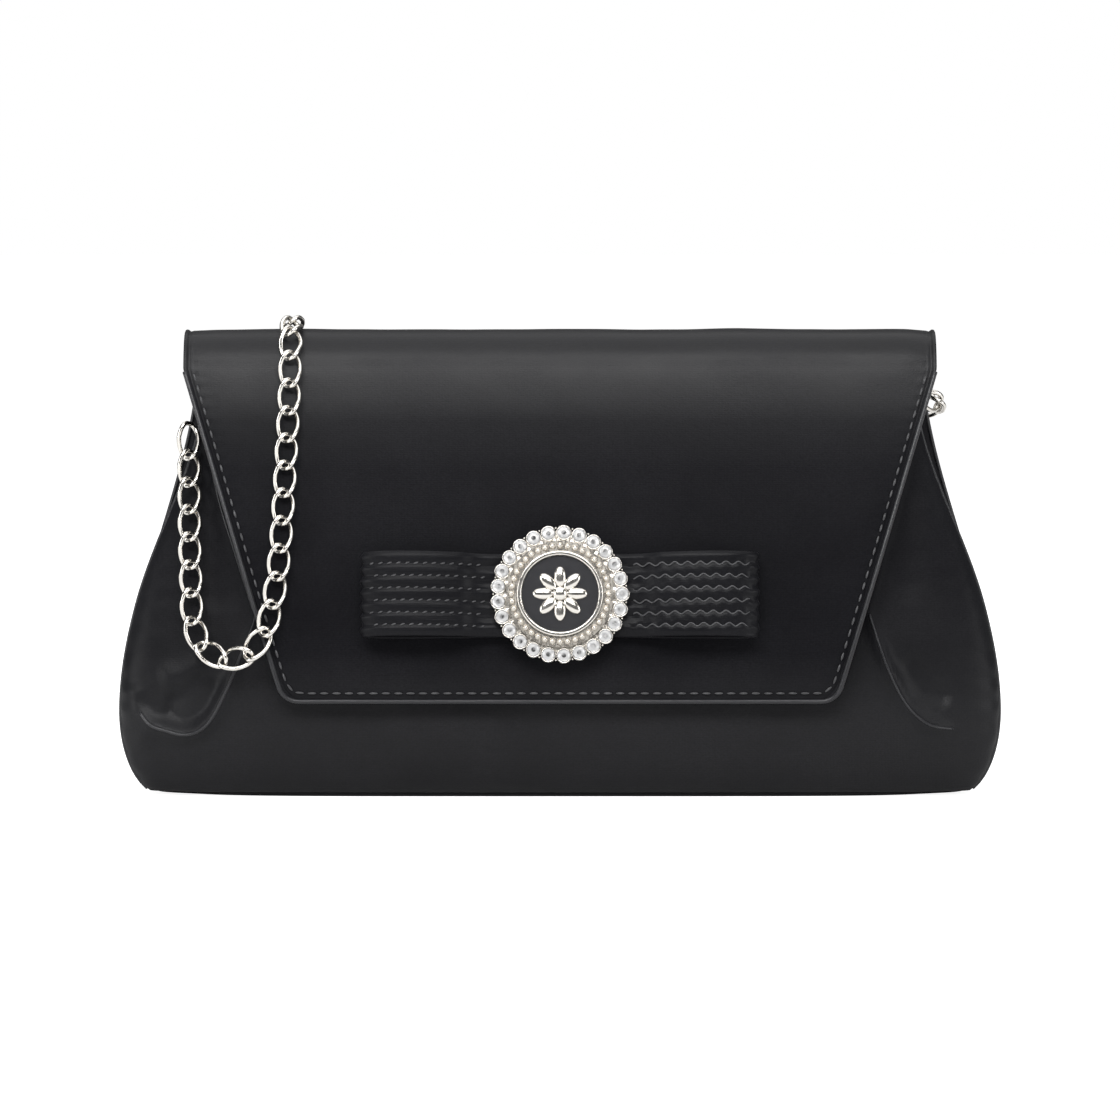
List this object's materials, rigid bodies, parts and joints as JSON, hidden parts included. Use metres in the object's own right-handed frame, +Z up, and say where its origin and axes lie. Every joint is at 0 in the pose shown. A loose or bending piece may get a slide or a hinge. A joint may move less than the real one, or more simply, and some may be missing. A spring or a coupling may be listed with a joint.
{
  "type": "evening bag",
  "caption": "Small padded satin evening bag with a fold-over flap, flat stitched bow, round stone-set medallion, magnetic snap and curb-chain strap.",
  "frame": {"origin": "centre of the flat underside of the base", "axes": "+Z up, +X along the bag's length towards the right when the front is seen, -Y towards the front where the flap and bow are"},
  "size_m": [0.2304, 0.0654, 0.1257],
  "materials": {
    "satin": "black satin, soft sheen",
    "lining": "matte black woven lining",
    "padding": "felt padding",
    "board": "stiff board",
    "steel": "nickel-plated steel",
    "chain": "polished pale silver plating",
    "stone": "clear cut stones",
    "magnet": "coated ferrite",
    "enamel": "black enamel"
  },
  "bodies": {
    "bag": {"front_panel": "satin", "back_panel": "satin", "gusset_left": "satin", "gusset_right": "satin", "base_panel": "satin", "base_board": "board", "front_padding": "padding", "back_board": "board", "lining_bag": "lining", "mouth_facing": "satin", "slip_pocket": "lining", "snap_female_case": "steel", "snap_magnet": "magnet", "snap_female_washer": "steel", "strap_tab_left": "satin", "strap_tab_right": "satin"},
    "flap": {"flap_lining": "lining", "flap_board": "board", "flap_outer": "satin", "snap_male": "steel", "bow_band": "satin", "medallion_plate": "steel", "medallion_washer": "steel", "stones": "stone", "beaded_ring": "chain", "bezel": "chain", "enamel_disc": "enamel", "rosette": "chain", "chain_fold_links": "chain"},
    "flap_chain": {"chain_flap_strand": "chain"},
    "side_chain": {"chain_side_strand": "chain"},
    "left_ring": {"ring_left": "chain"},
    "right_ring": {"ring_right": "chain"},
    "back_chain": {"chain_back_strand": "chain"}
  },
  "joints": [
    {"name": "flap_hinge", "type": "hinge", "parent": "bag", "child": "flap", "pos_m": [0, 0.0088, 0.1173], "axis": [-1, 0, 0], "range_deg": [0, 110]},
    {"name": "flap_chain_lift", "type": "hinge", "parent": "flap", "child": "flap_chain", "pos_m": [-0.0705, -0.0133, 0.11528], "axis": [-1, 0, 0], "range_deg": [0, 45]},
    {"name": "side_chain_swing", "type": "hinge", "parent": "flap_chain", "child": "side_chain", "pos_m": [-0.09336, -0.02685, 0.03994], "axis": [0, -1, 0], "range_deg": [0, 30]},
    {"name": "left_ring_swing", "type": "hinge", "parent": "bag", "child": "left_ring", "pos_m": [-0.0906, 0, 0.103], "axis": [0, 0, 1], "range_deg": [-35, 35]},
    {"name": "right_ring_swing", "type": "hinge", "parent": "bag", "child": "right_ring", "pos_m": [0.0906, 0, 0.103], "axis": [0, 0, -1], "range_deg": [0, 25]},
    {"name": "back_chain_swing", "type": "hinge", "parent": "right_ring", "child": "back_chain", "pos_m": [0.0949, -0.0001, 0.103], "axis": [0, 0, -1], "range_deg": [0, 30]}
  ]
}
